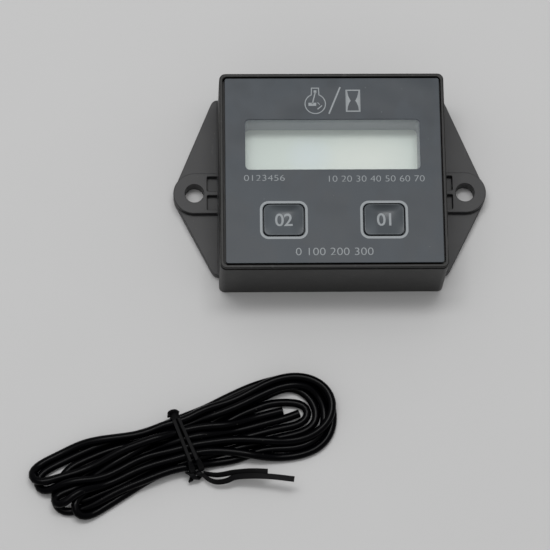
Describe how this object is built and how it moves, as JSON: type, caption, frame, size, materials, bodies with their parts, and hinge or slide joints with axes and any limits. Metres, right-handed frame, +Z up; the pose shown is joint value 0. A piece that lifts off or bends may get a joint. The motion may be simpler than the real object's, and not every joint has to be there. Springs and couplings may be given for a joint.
{
  "type": "engine hour meter",
  "caption": "Rectangular panel meter with a recessed display window, keys below it, a mounting ear on each side, and its pickup lead tied in a hank beside it.",
  "frame": {"origin": "centre of the case's flat mounting face, leaving out the free lead and its tie", "axes": "+X to the right of the display, +Y to the top of the display, +Z up out of the display face"},
  "size_m": [0.1053, 0.1003, 0.02],
  "materials": {
    "case_black": "satin",
    "printed_film": "semi-gloss",
    "clear_lens": "clear polished",
    "frame_grey": "satin",
    "display_glass": "polished",
    "reflector_film": "satin silver",
    "black_rubber": "matte",
    "board_green": "semi-gloss",
    "key_black": "satin",
    "component_black": "matte",
    "bright_steel": "bright",
    "component_tan": "satin",
    "terminal_brass": "satin",
    "lead_black": "gloss",
    "tie_black": "satin"
  },
  "bodies": {
    "meter": {"case_shell": "case_black", "face_overlay": "printed_film", "window_lens": "clear_lens", "display_frame": "frame_grey", "display_front_glass": "display_glass", "display_rear_glass": "display_glass", "display_reflector": "reflector_film", "contact_strip_top": "black_rubber", "contact_strip_bottom": "black_rubber", "circuit_board": "board_green", "switch_body_left": "component_black", "switch_body_right": "component_black", "coin_cell": "bright_steel", "cell_holder": "component_black", "cell_clip": "bright_steel", "counter_chip": "component_black", "timing_crystal": "bright_steel", "capacitor_left": "component_tan", "capacitor_right": "component_tan", "resistor_left": "component_tan", "resistor_right": "component_tan", "lead_terminal": "terminal_brass", "terminal_screw": "bright_steel", "inlet_bush": "black_rubber", "board_screw_left": "bright_steel", "board_screw_right": "bright_steel", "board_screw_top": "bright_steel", "rear_cover": "case_black", "cover_gasket": "black_rubber", "cover_screw_top_left": "bright_steel", "cover_screw_top_right": "bright_steel", "cover_screw_bottom_left": "bright_steel", "cover_screw_bottom_right": "bright_steel", "pickup_lead": "lead_black", "twist_tie": "tie_black"},
    "left_key": {"key_left": "key_black", "switch_plunger_left": "frame_grey"},
    "right_key": {"key_right": "key_black", "switch_plunger_right": "frame_grey"}
  },
  "joints": [
    {"name": "left_key_press", "type": "slide", "parent": "meter", "child": "left_key", "axis": [0, 0, -1], "range_m": [0, 0.0005], "stiffness_N_per_m": 3000},
    {"name": "right_key_press", "type": "slide", "parent": "meter", "child": "right_key", "axis": [0, 0, -1], "range_m": [0, 0.0005], "stiffness_N_per_m": 3000}
  ]
}
